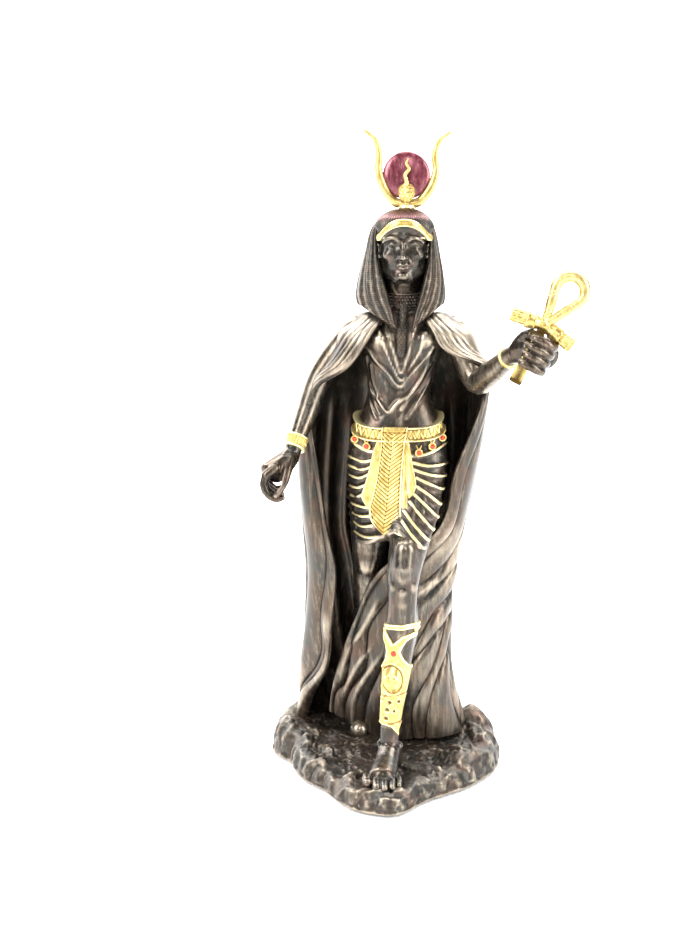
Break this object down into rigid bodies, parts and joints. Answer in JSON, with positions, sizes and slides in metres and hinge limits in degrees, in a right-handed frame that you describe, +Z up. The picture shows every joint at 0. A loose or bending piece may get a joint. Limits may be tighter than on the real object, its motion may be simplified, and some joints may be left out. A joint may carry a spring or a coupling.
{
  "type": "egyptian goddess statue",
  "caption": "Cast figurine of a striding Egyptian goddess in a long cloak on a rock base, with a horned sun disc and a looped cross.",
  "frame": {"origin": "middle of the felt-covered underside, on the surface it stands on", "axes": "+Z up along the figure, which faces -Y; +X to the viewer's right, on the side of the looped cross"},
  "size_m": [0.1474, 0.1202, 0.3054],
  "materials": {
    "bronze_finish": "antique bronze paint on cast resin, dry-brushed highlights",
    "gold_paint": "gold paint with a brown wash in the recesses",
    "wine_enamel": "satin wine-red enamel",
    "red_enamel": "glossy orange-red enamel gems",
    "black_felt": "black self-adhesive felt"
  },
  "bodies": {
    "root": {"statue": "bronze_finish", "looped_cross": "gold_paint", "horned_disc_crown": "gold_paint", "felt_pad": "black_felt"}
  },
  "joints": []
}
